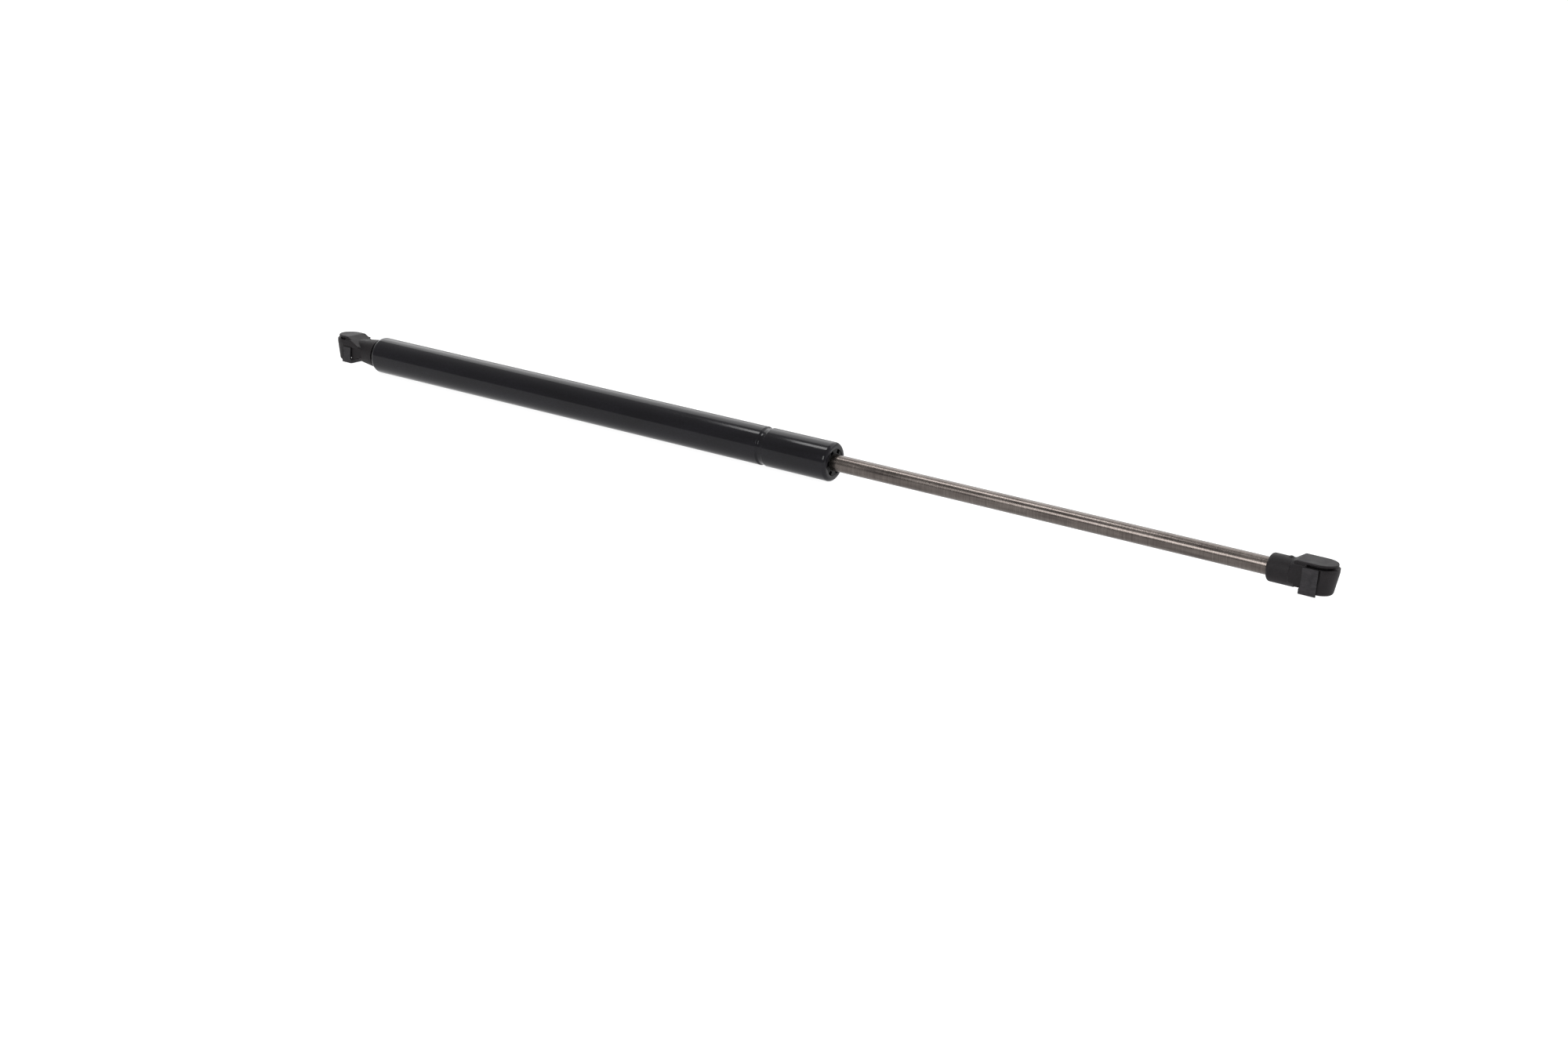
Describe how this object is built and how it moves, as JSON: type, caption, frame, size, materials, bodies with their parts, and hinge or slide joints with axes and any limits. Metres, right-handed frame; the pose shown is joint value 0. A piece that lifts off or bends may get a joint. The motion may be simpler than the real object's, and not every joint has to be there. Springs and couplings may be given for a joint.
{
  "type": "gas strut stay",
  "caption": "Gas strut with a gloss black tube, a slim steel rod and a push-fit plastic ball socket with a spring clip on each end.",
  "frame": {"origin": "centre of the ball in the socket on the tube's closed end", "axes": "+X along the strut from the tube socket to the rod socket; both sockets open along -Z; +Y across the strut, to the right-handed side"},
  "size_m": [0.56, 0.019, 0.019],
  "materials": {
    "tube_paint": "gloss",
    "socket_plastic": "satin",
    "clip_steel": "satin",
    "rod_steel": "polished",
    "zinc_steel": "satin",
    "insert_brass": "satin",
    "cap_plastic": "satin",
    "guide_bronze": "matt",
    "seal_rubber": "matt",
    "sleeve_plastic": "matt",
    "ring_plastic": "matt",
    "piston_alloy": "satin"
  },
  "bodies": {
    "cylinder": {"pressure_tube": "tube_paint", "end_plug": "zinc_steel", "end_plug_seal": "seal_rubber", "tube_stud": "zinc_steel", "tube_socket_housing": "socket_plastic", "tube_socket_insert": "insert_brass", "wiper_cap": "cap_plastic", "rod_guide": "guide_bronze", "rod_seal": "seal_rubber", "seal_washer": "zinc_steel", "stop_sleeve": "sleeve_plastic"},
    "ring": {"piston_ring": "ring_plastic"},
    "rod": {"piston": "piston_alloy", "orifice_disc": "zinc_steel", "stop_washer": "zinc_steel", "piston_rivet": "zinc_steel", "piston_rod": "rod_steel", "rod_socket_housing": "socket_plastic", "rod_socket_insert": "insert_brass"},
    "tube_clip": {"tube_socket_clip": "clip_steel"},
    "rod_clip": {"rod_socket_clip": "clip_steel"}
  },
  "joints": [
    {"name": "rod_slide", "type": "slide", "parent": "cylinder", "child": "ring", "axis": [-1, 0, 0], "range_m": [0, 0.205], "stiffness_N_per_m": 1800},
    {"name": "rod_spin", "type": "hinge", "parent": "ring", "child": "rod", "pos_m": [0.25, 0, 0], "axis": [1, 0, 0], "continuous": true},
    {"name": "tube_clip_slide", "type": "slide", "parent": "cylinder", "child": "tube_clip", "axis": [1, 0, 0], "range_m": [0, 0.0035], "stiffness_N_per_m": 1500},
    {"name": "rod_clip_slide", "type": "slide", "parent": "rod", "child": "rod_clip", "axis": [-1, 0, 0], "range_m": [0, 0.0035], "stiffness_N_per_m": 1500}
  ]
}
